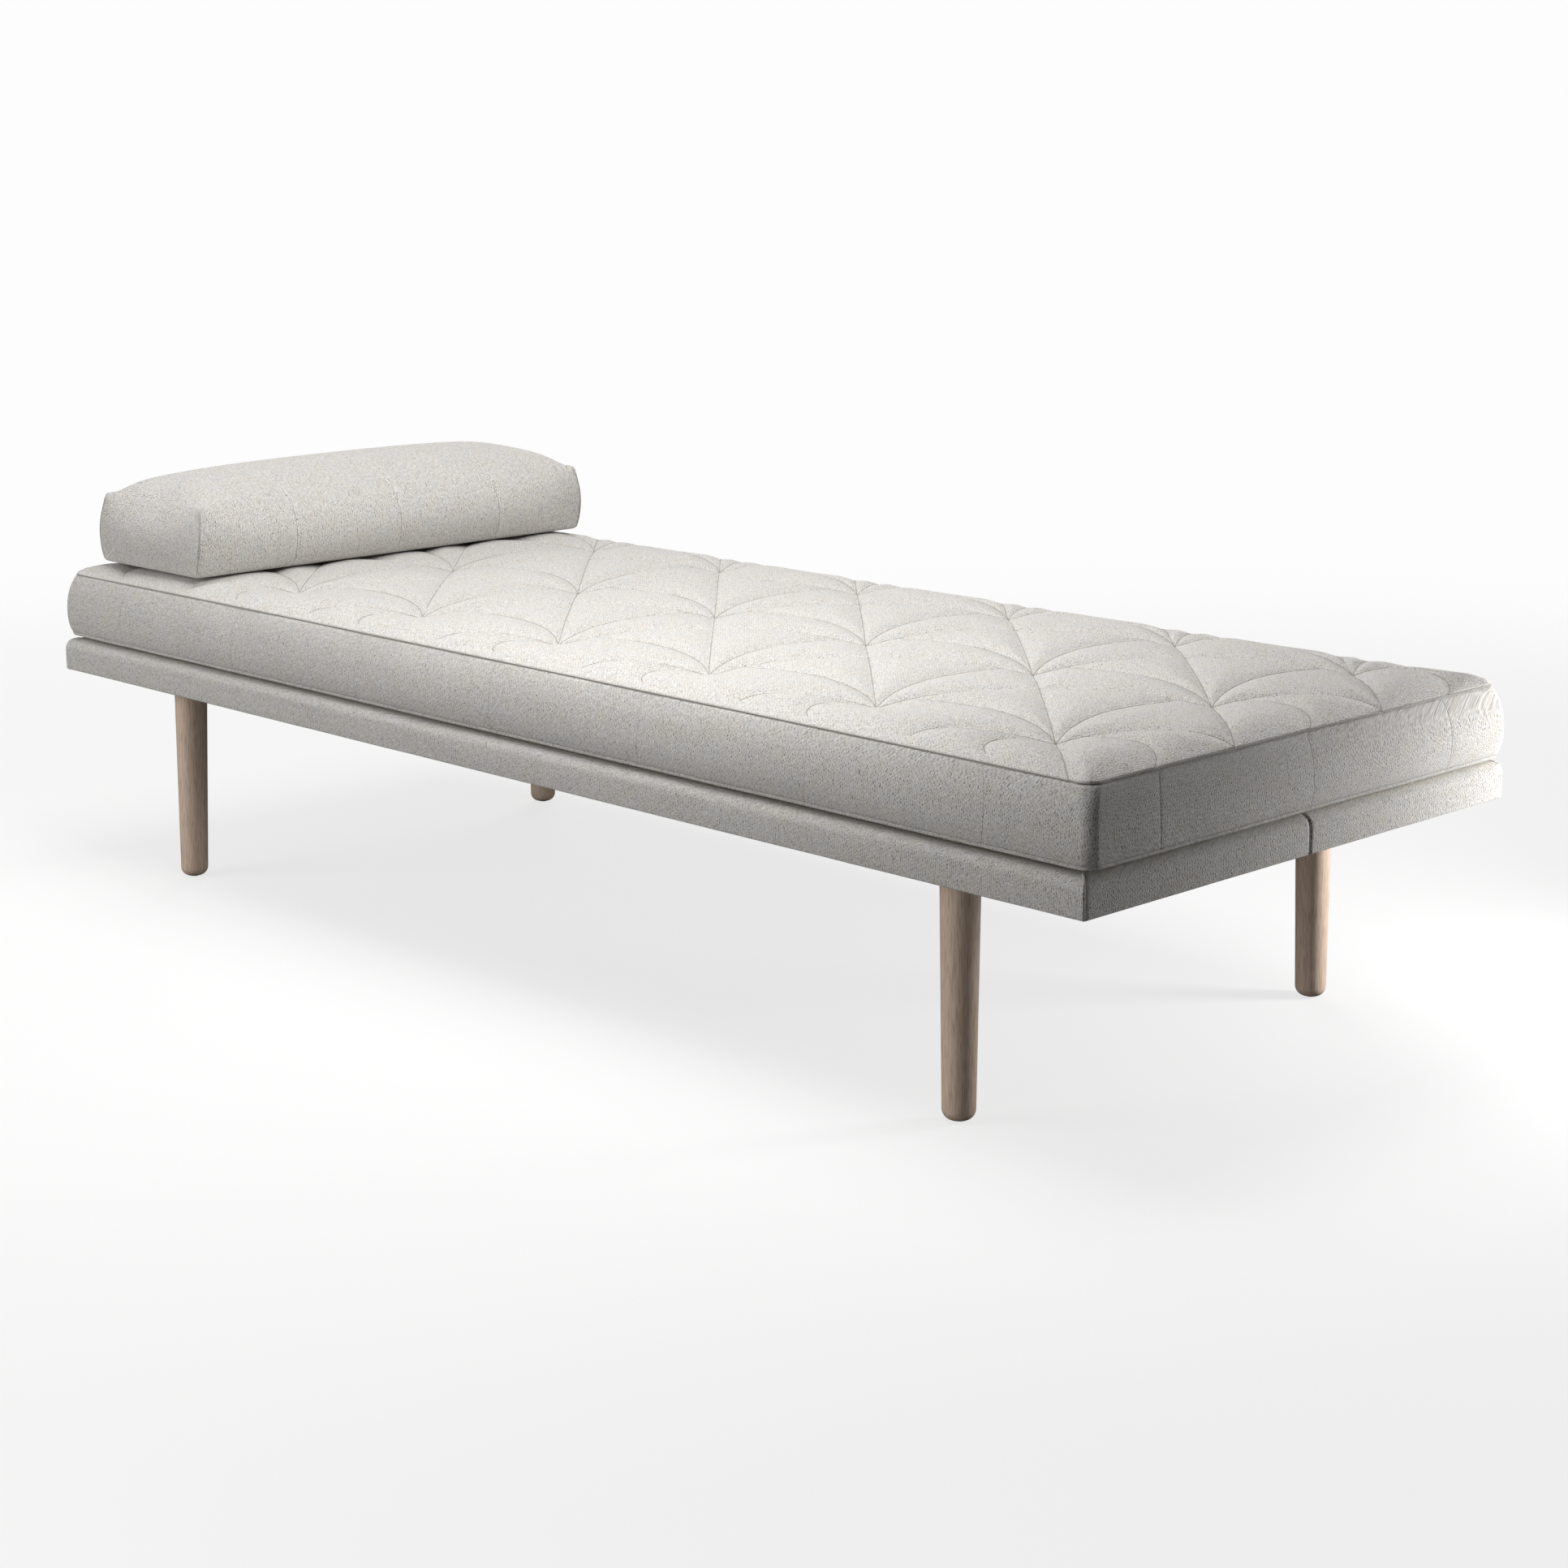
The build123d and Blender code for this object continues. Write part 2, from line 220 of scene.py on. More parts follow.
def add(tree, kind, inputs=None, stops=(), **properties):
    """Adds a node with its properties. Each input, by name or index, is given a value, or is linked
    to a socket or to a node's first output. A colour ramp also gets its (position, hex) stops."""
    node = tree.nodes.new("ShaderNode" + kind)
    for key, value in properties.items():
        setattr(node, key, value)
    for key, value in (inputs or {}).items():
        if isinstance(value, bpy.types.Node):
            value = value.outputs[0]
        if isinstance(value, bpy.types.NodeSocket):
            tree.links.new(value, node.inputs[key])
        else:
            node.inputs[key].default_value = value
    for index, (position, colour) in enumerate(stops):
        if index > 1:
            node.color_ramp.elements.new(position)
        node.color_ramp.elements[index].position = position
        node.color_ramp.elements[index].color = linear(colour)
    return node


def finish_material(tree, colour, rough, height, bump_mm, **shader_values):
    """Joins colour, roughness and height to a Principled shader and the output."""
    bump = add(tree, "Bump", {"Height": height, "Strength": 1.0, "Distance": bump_mm * MM})
    values = {key.replace("_", " "): value for key, value in shader_values.items()}
    shader = add(tree, "BsdfPrincipled", {
        "Base Color": colour, "Roughness": rough, "Normal": bump, **values,
    })
    add(tree, "OutputMaterial", {"Surface": shader})


def woven_twill(name):
    """Heavy wool-blend twill: plump upright floats with a small gap between one and the next,
    darkened in the colour as painted shade. Each column's gaps sit about a third of a float off
    its neighbour's, so that they climb in fine diagonal rows. Warm light grey yarn, faintly beige
    and cool by turns, matt and dry."""
    column_mm, float_mm = 3.0, 4.6
    climb_per_column, lean = -0.36, 0.3
    wander_columns, wander_floats = 2.2, 2.4
    gap_half_width, gap_half_height = 0.36, 0.46
    material, tree = new_material(name)
    coords = add(tree, "TexCoord").outputs["UV"]
    # the lattice of columns and floats, pushed about a little by a slow noise
    per_metre = (1 / (column_mm * MM), 1 / (float_mm * MM), 0.0)
    lattice = add(tree, "VectorMath", {0: coords, 1: per_metre}, operation="MULTIPLY")
    wander = add(tree, "TexNoise", {"Vector": coords, "Scale": 1 / (7 * MM), "Detail": 3.0})
    wandering = add(tree, "VectorMath", {
        0: wander.outputs["Color"], 1: (wander_columns, wander_floats, 0.0), 2: lattice,
    }, operation="MULTIPLY_ADD")
    split = add(tree, "SeparateXYZ", {0: wandering})
    # which column, and where across it: -0.5 to 0.5
    column = add(tree, "Math", {0: split.outputs[0]}, operation="FLOOR")
    within = add(tree, "Math", {0: split.outputs[0]}, operation="FRACT")
    across = add(tree, "Math", {0: within, 1: 0.5}, operation="SUBTRACT")
    # which float, each column a third of a float higher and each float leaning; where along it
    climb = add(
        tree, "Math", {0: column, 1: climb_per_column, 2: split.outputs[1]}, operation="MULTIPLY_ADD",
    )
    leaning = add(tree, "Math", {0: across, 1: lean, 2: climb}, operation="MULTIPLY_ADD")
    float_number = add(tree, "Math", {0: leaning}, operation="FLOOR")
    part = add(tree, "Math", {0: leaning}, operation="FRACT")
    along = add(tree, "Math", {0: part, 1: 0.5}, operation="SUBTRACT")
    # the gap is an upright ellipse in each cell: 0 in the gap, 1 on the yarn
    narrow = add(tree, "Math", {0: across, 1: gap_half_width}, operation="DIVIDE")
    tall = add(tree, "Math", {0: along, 1: gap_half_height}, operation="DIVIDE")
    narrow_squared = add(tree, "Math", {0: narrow, 1: narrow}, operation="MULTIPLY")
    ellipse = add(tree, "Math", {0: tall, 1: tall, 2: narrow_squared}, operation="MULTIPLY_ADD")
    gap = add(tree, "MapRange", {0: ellipse, "From Max": 1.3}, interpolation_type="SMOOTHSTEP")
    # each float has its own yarn colour and depth of gap
    cell = add(tree, "CombineXYZ", {0: column, 1: float_number})
    pick = add(tree, "TexWhiteNoise", {"Vector": cell}, noise_dimensions="2D")
    deep = add(tree, "Math", {0: pick, 1: 0.6, 2: 0.4}, operation="MULTIPLY_ADD")
    hollow = add(tree, "Math", {0: 1.0, 1: gap}, operation="SUBTRACT")
    filled = add(tree, "Math", {0: hollow, 1: deep}, operation="MULTIPLY")
    lit = add(tree, "Math", {0: 1.0, 1: filled}, operation="SUBTRACT")
    fuzz = add(
        tree, "TexNoise", {"Vector": coords, "Scale": 1 / (0.9 * MM), "Detail": 3.0, "Roughness": 0.7},
    )
    height = add(tree, "Math", {0: fuzz, 1: 0.8, 2: lit}, operation="MULTIPLY_ADD")
    yarn = add(tree, "ValToRGB", {"Fac": pick}, [
        (0.0, "D5D3CF"), (0.2, "DCDAD6"), (0.5, "DFDDD9"),
        (0.75, "DEDBD5"), (0.9, "DBDBDB"), (1.0, "E5E3DF"),
    ])
    # patches a few centimetres wide run warmer or cooler
    patches = add(tree, "TexNoise", {"Vector": coords, "Scale": 1 / (30 * MM), "Detail": 5.0})
    tone = add(tree, "ValToRGB", {"Fac": patches}, [(0.3, "F8F5F1"), (0.5, "F9F8F8"), (0.7, "F6F7FA")])
    # painted shade: the colour is darkened in the gaps between floats, where shade falls
    gap_painted_shade = add(tree, "ValToRGB", {"Fac": lit}, [(0.0, "A8A5A0"), (0.9, "FFFFFF")])
    # flecks where several floats together are a little darker
    dim = add(tree, "TexNoise", {"Vector": coords, "Scale": 1 / (5 * MM), "Detail": 2.0})
    fleck = add(tree, "ValToRGB", {"Fac": dim}, [(0.36, "EEEDEB"), (0.6, "FFFFFF")])
    colour = yarn
    for layer in (tone, gap_painted_shade, fleck):
        both = add(tree, "Mix", {0: 1.0, 6: colour, 7: layer}, data_type="RGBA", blend_type="MULTIPLY")
        colour = both.outputs[2]
    finish_material(
        tree, colour, 0.92, height, 0.5,
        Sheen_Weight=0.2, Sheen_Roughness=0.5, Specular_IOR_Level=0.2,
    )
    return material


def yarn_thread(name, dark, light):
    """Spun polyester sewing thread: a tight twist. Its tone, darker than the cloth, is partly the
    thread's own and partly painted shade of the grooves it lies in.
    """
    material, tree = new_material(name)
    coords = add(tree, "TexCoord").outputs["Object"]
    wave = add(tree, "TexWave", {"Vector": coords, "Scale": 1 / (1.2 * MM), "Distortion": 2.0})
    twist = wave.outputs["Fac"]
    colour = add(tree, "Mix", {0: twist, 6: linear(dark), 7: linear(light)}, data_type="RGBA")
    finish_material(tree, colour.outputs[2], 0.8, twist, 0.08)
    return material


def oak(name, dark, light, grain_mm=5.0, gloss=0.5):
    """Turned light oak under matt lacquer: fine upright grain, pores as short dark dashes."""
    material, tree = new_material(name)
    coords = add(tree, "TexCoord").outputs["Object"]
    drawn_out = add(tree, "Mapping", {"Vector": coords, "Scale": (1.0, 1.0, 0.035)})
    growth = add(tree, "TexNoise", {
        "Vector": drawn_out, "Scale": 1 / (grain_mm * MM),
        "Detail": 5.0, "Roughness": 0.6, "Distortion": 0.4,
    })
    fine = add(tree, "TexNoise", {"Vector": drawn_out, "Scale": 1 / (0.9 * MM), "Detail": 2.0})
    grain = add(tree, "ValToRGB", {"Fac": growth}, [(0.3, dark), (0.5, light), (0.68, dark)])
    pores = add(tree, "ValToRGB", {"Fac": fine}, [(0.36, "B5A797"), (0.5, "FFFFFF")])
    colour = add(tree, "Mix", {0: 0.55, 6: grain, 7: pores}, data_type="RGBA", blend_type="MULTIPLY")
    rough = add(tree, "MapRange", {0: growth, "To Min": gloss - 0.06, "To Max": gloss + 0.08})
    finish_material(tree, colour.outputs[2], rough, fine, 0.06)
    return material


def speckled(name, hex_a, hex_b, size_mm, bump_mm=0.3, rough=0.9, **values):
    """A soft mottled solid, such as foam, wadding, felt or bonded cloth, by grain size and colours."""
    material, tree = new_material(name)
    coords = add(tree, "TexCoord").outputs["Object"]
    noise = add(tree, "TexNoise", {"Vector": coords, "Scale": 1 / (size_mm * MM), "Detail": 4.0})
    colour = add(tree, "ValToRGB", {"Fac": noise}, [(0.35, hex_a), (0.65, hex_b)])
    finish_material(tree, colour, rough, noise, bump_mm, **values)
    return material


def dress(piece, material):
    """Gives every slot of a piece the one material."""
    piece.data.materials.clear()
    piece.data.materials.append(material)
    return piece


cloth = woven_twill("woven wool-blend cloth")
# the thread's dark tone is partly painted shade, for the stitch lines, seams and welt groove
thread = yarn_thread("polyester thread with painted groove shade", "8B867E", "A5A098")
leg_oak = oak("lacquered oak", "DABFA8", "E5CDB9")


# ---- platform ----
def near_first(limit, count, first):
    """Fractions 0 to 1 along a side of half length limit, closely spaced at its middle and end."""
    t = np.linspace(0, 1, count)
    fine = np.array([0, 0.35, 0.7, 1.1, 1.6, 2.4, 3.6]) * first / limit
    return np.unique(np.concatenate([fine, t[t > 4.2 * first / limit]]))


def platform_cover(side):
    """Half of the platform's cloth: a profile carried round half the platform's outline. The
    profile runs from the hem's inner edge out under the rails, up the side, over the rounded top
    edge and in to the middle. It tucks in at the two middle seams and at the corner seams."""
    edge_radius = 15 * MM
    thickness = BASE_TOP - BASE_BOTTOM
    path = outline(np.linspace(0, 1, 180), near_first(BASE_Y, 60, 3 * MM), 10, half=True)
    bottom_turn = np.linspace(0, math.pi / 2, 5)
    top_turn = np.linspace(0, math.pi / 2, 11)
    hem_inset = np.array([HEM - 2 * MM, HEM - 4 * MM, 20 * MM, 10 * MM, 5 * MM])
    side_height = np.linspace(3 * MM, thickness - edge_radius, 8)[:-1]
    # close rings at the middle keep the shading of the open edge off the deck
    to_middle = BASE_Y - np.array([20, 6, 1.5, 0]) * MM
    deck_inset = np.concatenate([np.array([20, 30, 50, 80, 120, 180, 250, 330]) * MM, to_middle])
    lower_radius = 1.6 * MM
    inset = np.concatenate([
        hem_inset,
        lower_radius * (1 - np.sin(bottom_turn)),
        np.zeros(len(side_height)),
        edge_radius * (1 - np.cos(top_turn)),
        deck_inset,
    ])
    height = np.concatenate([
        np.zeros(len(hem_inset)),
        lower_radius * (1 - np.cos(bottom_turn)),
        side_height,
        thickness - edge_radius + edge_radius * np.sin(top_turn),
        np.full(len(deck_inset), thickness),
    ])
    swell = 0.9 * MM * np.sin(np.clip(height / thickness, 0, 1) * math.pi) ** 0.7
    out = np.where(inset < 2 * edge_radius, swell, 0)
    radius = np.clip(3.2 * MM - inset, 0.01 * MM, None)
    points = rings(path, BASE_X - inset + out, BASE_Y - inset + out, radius, BASE_BOTTOM + height)
    fx, fy, cx, cy = path
    on_end = np.abs(fx) == 1
    from_seam = np.where(on_end, np.abs(fy) * BASE_Y, 1.0)
    at_corner = np.where(cx * cy != 0, 1.0, 0.0)
    notch = at_corner * bell(np.abs(np.abs(cx) - math.sqrt(0.5)), 0.22)
    on_side = (inset < edge_radius)[:, None]
    seam_depth, seam_width, corner_depth, wave_height = 3.5 * MM, 2.2 * MM, 1.5 * MM, 0.35 * MM
    tuck = np.where(on_side, seam_depth * bell(from_seam, seam_width) + corner_depth * notch, 0.0)
    along = run_lengths(points, 1)
    up = run_lengths(points, 0)
    waves = np.where(on_side, wave_height * smooth_noise(along, up * 3, 0.11, SEED), 0.0)
    points[..., 0] += (waves - tuck) * cx
    points[..., 1] += (waves - tuck) * cy
    uv = np.stack([along, up], 2)
    if side > 0:
        points = points * np.array([-1, -1, 1])
        uv = uv + 5.0                 # so that the two halves' weaves differ
    return points, uv


def build_platform():
    """Cloth halves, each a thin closed shell."""
    for side, label in ((-1, "front"), (1, "back")):
        piece = mesh_piece(f"platform_cloth_{label}", [platform_cover(side)])
        shell = piece.modifiers.new("cloth_thickness", "SOLIDIFY")
        shell.thickness = 1.4 * MM
        shell.offset = -1.0
        dress(piece, cloth)
        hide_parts(f"base_cover_{label}")
        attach(piece, "platform")


# ---- legs ----
FOOT_SHARE = 40.5 / 49                # a leg's width at its foot, as a share of that at its top


def turned_leg(node):
    """A turned leg: a straight taper, its foot rounded by a quarter circle, closed at both ends."""
    low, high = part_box(node)
    centre = (low + high) / 2
    top_radius = (high.x - low.x) / 2
    foot_radius = top_radius * FOOT_SHARE
    round_foot = 13 * MM
    turn = np.linspace(0, math.pi / 2, 14)
    radius = np.concatenate([
        [0, (foot_radius - round_foot) * 0.6],
        foot_radius - round_foot + round_foot * np.sin(turn),
        np.linspace(foot_radius, top_radius, 24)[1:],
        [top_radius - 0.01 * MM, 0],
    ])
    height = np.concatenate([
        [0, 0],
        round_foot * (1 - np.cos(turn)),
        np.linspace(round_foot, high.z - low.z, 24)[1:],
        [high.z - low.z, high.z - low.z],
    ])
    angle = np.linspace(0, 2 * math.pi, 97)
    x = centre.x + radius[:, None] * np.cos(angle)
    y = centre.y + radius[:, None] * np.sin(angle)
    z = low.z + np.broadcast_to(height[:, None], x.shape)
    uv = np.stack([np.broadcast_to(angle * top_radius, x.shape), z], 2)
    return np.stack([x, y, z], 2), uv


def build_legs():
    """The four legs."""
    for label in ("front_head", "front_foot", "back_head", "back_foot"):
        node = f"leg_{label}"
        piece = dress(mesh_piece(f"turned_{node}", [turned_leg(node)]), leg_oak)
        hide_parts(node)
        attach(piece, "platform")


# ---- mattress: quilting pattern ----
PITCH = 293.5 * MM                    # fan to fan, both ways
FAN_X = np.array([7 * MM + PITCH * i for i in range(-3, 3)] + [877 * MM])
FAN_Y = np.array([-2 * MM + PITCH * j for j in range(-1, 2)])


def arc_through(start, middle, end, steps=40):
    """Points of the circular arc through three points, or nearly straight if they are in line."""
    (ax, ay), (bx, by), (cx, cy) = start, middle, end
    d = 2 * (ax * (by - cy) + bx * (cy - ay) + cx * (ay - by))
    ux = ((ax**2 + ay**2) * (by - cy) + (bx**2 + by**2) * (cy - ay) + (cx**2 + cy**2) * (ay - by)) / d
    uy = ((ax**2 + ay**2) * (cx - bx) + (bx**2 + by**2) * (ax - cx) + (cx**2 + cy**2) * (bx - ax)) / d
    radius = math.hypot(ax - ux, ay - uy)
    angles = np.unwrap([math.atan2(y - uy, x - ux) for x, y in (start, middle, end)])
    t = np.linspace(angles[0], angles[2], steps + 1)
    return np.stack([ux + radius * np.cos(t), uy + radius * np.sin(t)], 1)


def fan_lines(width):
    """The stitch lines of one whole fan about its lower right corner, as point arrays in metres:
    a quarter ellipse, the diagonal, and two curved ribs between them and the fan's sides. width
    is its size along X, and PITCH its size along Y."""
    turn = np.linspace(math.pi, math.pi / 2, 41)
    rim = np.stack([np.cos(turn), np.sin(turn)], 1)
    diagonal = np.stack([np.linspace(0, -1, 41), np.linspace(0, 1, 41)], 1)
    upright = arc_through((0, 0), (-0.185, 0.53), (-0.165, 0.97))
    level = arc_through((0, 0), (-0.53, 0.235), (-0.96, 0.2))
    return [line * (width, PITCH) for line in (rim, diagonal, upright, level)]


def foot_edge_lines():
    """Half-size fans in the strip beside the foot seam, about the corner of the fan they join."""
    q = PITCH / 2
    turn = np.linspace(math.pi, math.pi / 2, 25)
    rim = np.stack([q + q * np.cos(turn), 1.06 * q * np.sin(turn)], 1)
    rib = arc_through((0.03 * q, 0.30 * q), (0.30 * q, 0.40 * q), (0.95 * q, 0.02 * q), 20)
    diagonal = np.stack([np.linspace(0, q, 13), np.linspace(0, -q, 13)], 1)
    return [rim, rib, diagonal]


def side_edge_lines():
    """Half-size fans in the strip beside the front seam, about the corner of the fan they join."""
    q = PITCH / 2
    turn = np.linspace(math.pi / 2, math.pi, 25)
    rim = np.stack([q * np.cos(turn), -0.6 * q + 0.6 * q * np.sin(turn)], 1)
    rib = arc_through((0, 0), (-0.31 * q, -0.17 * q), (-0.18 * q, -0.62 * q), 20)
    return [rim, rib]


def quilt_lines():
    """Every stitch line on the mattress top, cut at the seams."""
    lines = []
    widths = np.diff(FAN_X, prepend=FAN_X[0] - PITCH)
    for y in FAN_Y:
        for x, width in zip(FAN_X, widths):
            lines += [line + (x, y) for line in fan_lines(width)]
        lines += [line + (FAN_X[-1], y) for line in foot_edge_lines()]
    for x in FAN_X:
        lines += [line + (x, FAN_Y[0]) for line in side_edge_lines()]
    inside = []
    for line in lines:
        keep = (np.abs(line[:, 0]) < SEAM_X - 2 * MM) & (np.abs(line[:, 1]) < SEAM_Y - 2 * MM)
        if keep.sum() > 2:
            first, last = np.flatnonzero(keep)[[0, -1]]
            inside.append(line[max(first - 1, 0):last + 2])
    return inside


def distance_to(line, x, y):
    """Distance from each x, y to a line of straight segments."""
    best = np.full(x.shape, np.inf)
    for (ax, ay), (bx, by) in zip(line[:-1], line[1:]):
        dx, dy = bx - ax, by - ay
        t = np.clip(((x - ax) * dx + (y - ay) * dy) / (dx * dx + dy * dy), 0, 1)
        best = np.minimum(best, np.hypot(x - ax - t * dx, y - ay - t * dy))
    return best


def nearest_stitch(x, y, lines, reach=80 * MM):
    """Distance from each point to the nearest stitch line, up to reach."""
    found = np.full(x.shape, reach)
    for line in lines:
        low, high = line.min(0) - reach, line.max(0) + reach
        near = (x > low[0]) & (x < high[0]) & (y > low[1]) & (y < high[1])
        found[near] = np.minimum(found[near], distance_to(line, x[near], y[near]))
    return found


def nearest_fan_corner(x, y):
    """Distance from each point to the nearest point where the fans' lines meet."""
    dx = x[..., None] - FAN_X
    dy = y[..., None] - FAN_Y
    return np.hypot(np.abs(dx).min(-1), np.abs(dy).min(-1))


LINES = quilt_lines()
CORNER = 20 * MM                      # radius of the mattress's corners in plan
SIDE_PULL, END_PULL = 6 * MM, 2.5 * MM    # how far its long sides and its ends are drawn in


def quilt_height(x, y):
    """Height of the quilted top above its seam: a low crown that falls to the seam at the edges,
    lower still round each fan corner, with a rounded puff between the stitch lines."""
    to_seam = np.minimum(SEAM_X - np.abs(x), SEAM_Y - np.abs(y))
    edge = np.clip(to_seam / (70 * MM), 0, 1)
    crown = 1 - (1 - edge) ** 2.2
    corner = 1 - np.exp(-(nearest_fan_corner(x, y) / (75 * MM)) ** 1.3)
    line = np.minimum(nearest_stitch(x, y, LINES), 1.6 * np.maximum(to_seam, 0) + 2 * MM)
    puff = 1 - np.exp(-np.sqrt(line**2 + (1.5 * MM) ** 2) / (20 * MM))
    groove = 0.7 * MM * bell(line, 2.6 * MM)
    waves = 0.4 * MM * smooth_noise(x, y, 0.16, SEED + 1) - groove
    crown_height, hill_height, puff_height = 5.6 * MM, 7.5 * MM, 7.0 * MM
    crowned = crown * (crown_height + hill_height * corner + waves)
    return crowned + (0.25 + 0.75 * crown) * puff_height * puff


def pulled_in(x, y):
    """Rounds the corners of the seam rectangle, and moves its sides in a little between them. In
    each corner square, with p and q from 0 to 1 outwards, p goes to p sqrt(1 - q^2 / 2), and q
    the same way, which turns the square into a quarter disc."""
    p = np.clip((np.abs(x) - SEAM_X) / CORNER + 1, 0, None)
    q = np.clip((np.abs(y) - SEAM_Y) / CORNER + 1, 0, None)
    x = x + np.sign(x) * CORNER * (p * np.sqrt(1 - q**2 / 2) - p)
    y = y + np.sign(y) * CORNER * (q * np.sqrt(1 - p**2 / 2) - q)
    along_x = 1 - np.abs(x / SEAM_X) ** 3
    along_y = 1 - np.abs(y / SEAM_Y) ** 3
    return x * (1 - END_PULL / SEAM_X * along_y), y * (1 - SIDE_PULL / SEAM_Y * along_x)


def quilt_grid(step=3.2 * MM):
    """Grid lines of the quilted top along X and Y, and the height of the top at each crossing."""
    xs = np.linspace(-SEAM_X, SEAM_X, int(2 * SEAM_X / step) + 1)
    ys = np.linspace(-SEAM_Y, SEAM_Y, int(2 * SEAM_Y / step) + 1)
    y, x = np.meshgrid(ys, xs, indexing="ij")
    return xs, ys, SEAM_Z + 0.6 * MM + quilt_height(x, y)


GRID_X, GRID_Y, GRID_Z = quilt_grid()


def top_at(x, y):
    """Height of the quilted top at any points, read between the grid lines (bilinear)."""
    i = np.clip((x - GRID_X[0]) / (GRID_X[1] - GRID_X[0]), 0, len(GRID_X) - 1.001)
    j = np.clip((y - GRID_Y[0]) / (GRID_Y[1] - GRID_Y[0]), 0, len(GRID_Y) - 1.001)
    low_i, low_j = i.astype(int), j.astype(int)
    s, t = i - low_i, j - low_j
    near = GRID_Z[low_j, low_i] * (1 - s) + GRID_Z[low_j, low_i + 1] * s
    far = GRID_Z[low_j + 1, low_i] * (1 - s) + GRID_Z[low_j + 1, low_i + 1] * s
    return near * (1 - t) + far * t


def quilted_top():
    """The quilt as a closed pad: a fine grid on top at its quilted height, a flat grid under it
    and a narrow turned edge between them."""
    y, x = np.meshgrid(GRID_Y, GRID_X, indexing="ij")
    px, py = pulled_in(x, y)
    top = np.stack([px, py, GRID_Z], 2)
    rim = np.concatenate([top[0, :], top[1:, -1], top[-1, -2::-1], top[-2::-1, 0]])
    inner = rim - np.array([0, 0, 6 * MM])
    inner[:, :2] *= 1 - 3 * MM / SEAM_X
    middle = inner * np.array([1 - SEAM_Y / SEAM_X, 0, 1])
    along = travelled(rim)
    turned_uv = np.stack([np.stack([along, along * 0], 1), np.stack([along, along * 0 + 7 * MM], 1)])
    under = np.stack([middle, inner])
    return [
        (top, np.stack([x, y], 2)),
        (np.stack([inner, rim]), turned_uv),
        (under, under[..., :2]),
    ]


# ---- mattress: sides ----
TOPSTITCH = 6 * MM                    # row of stitches above the lower edge
GAP = 4.5 * MM                        # its lip hangs this far above the platform
WIDEST = 0.62                         # how far down the side it is fullest


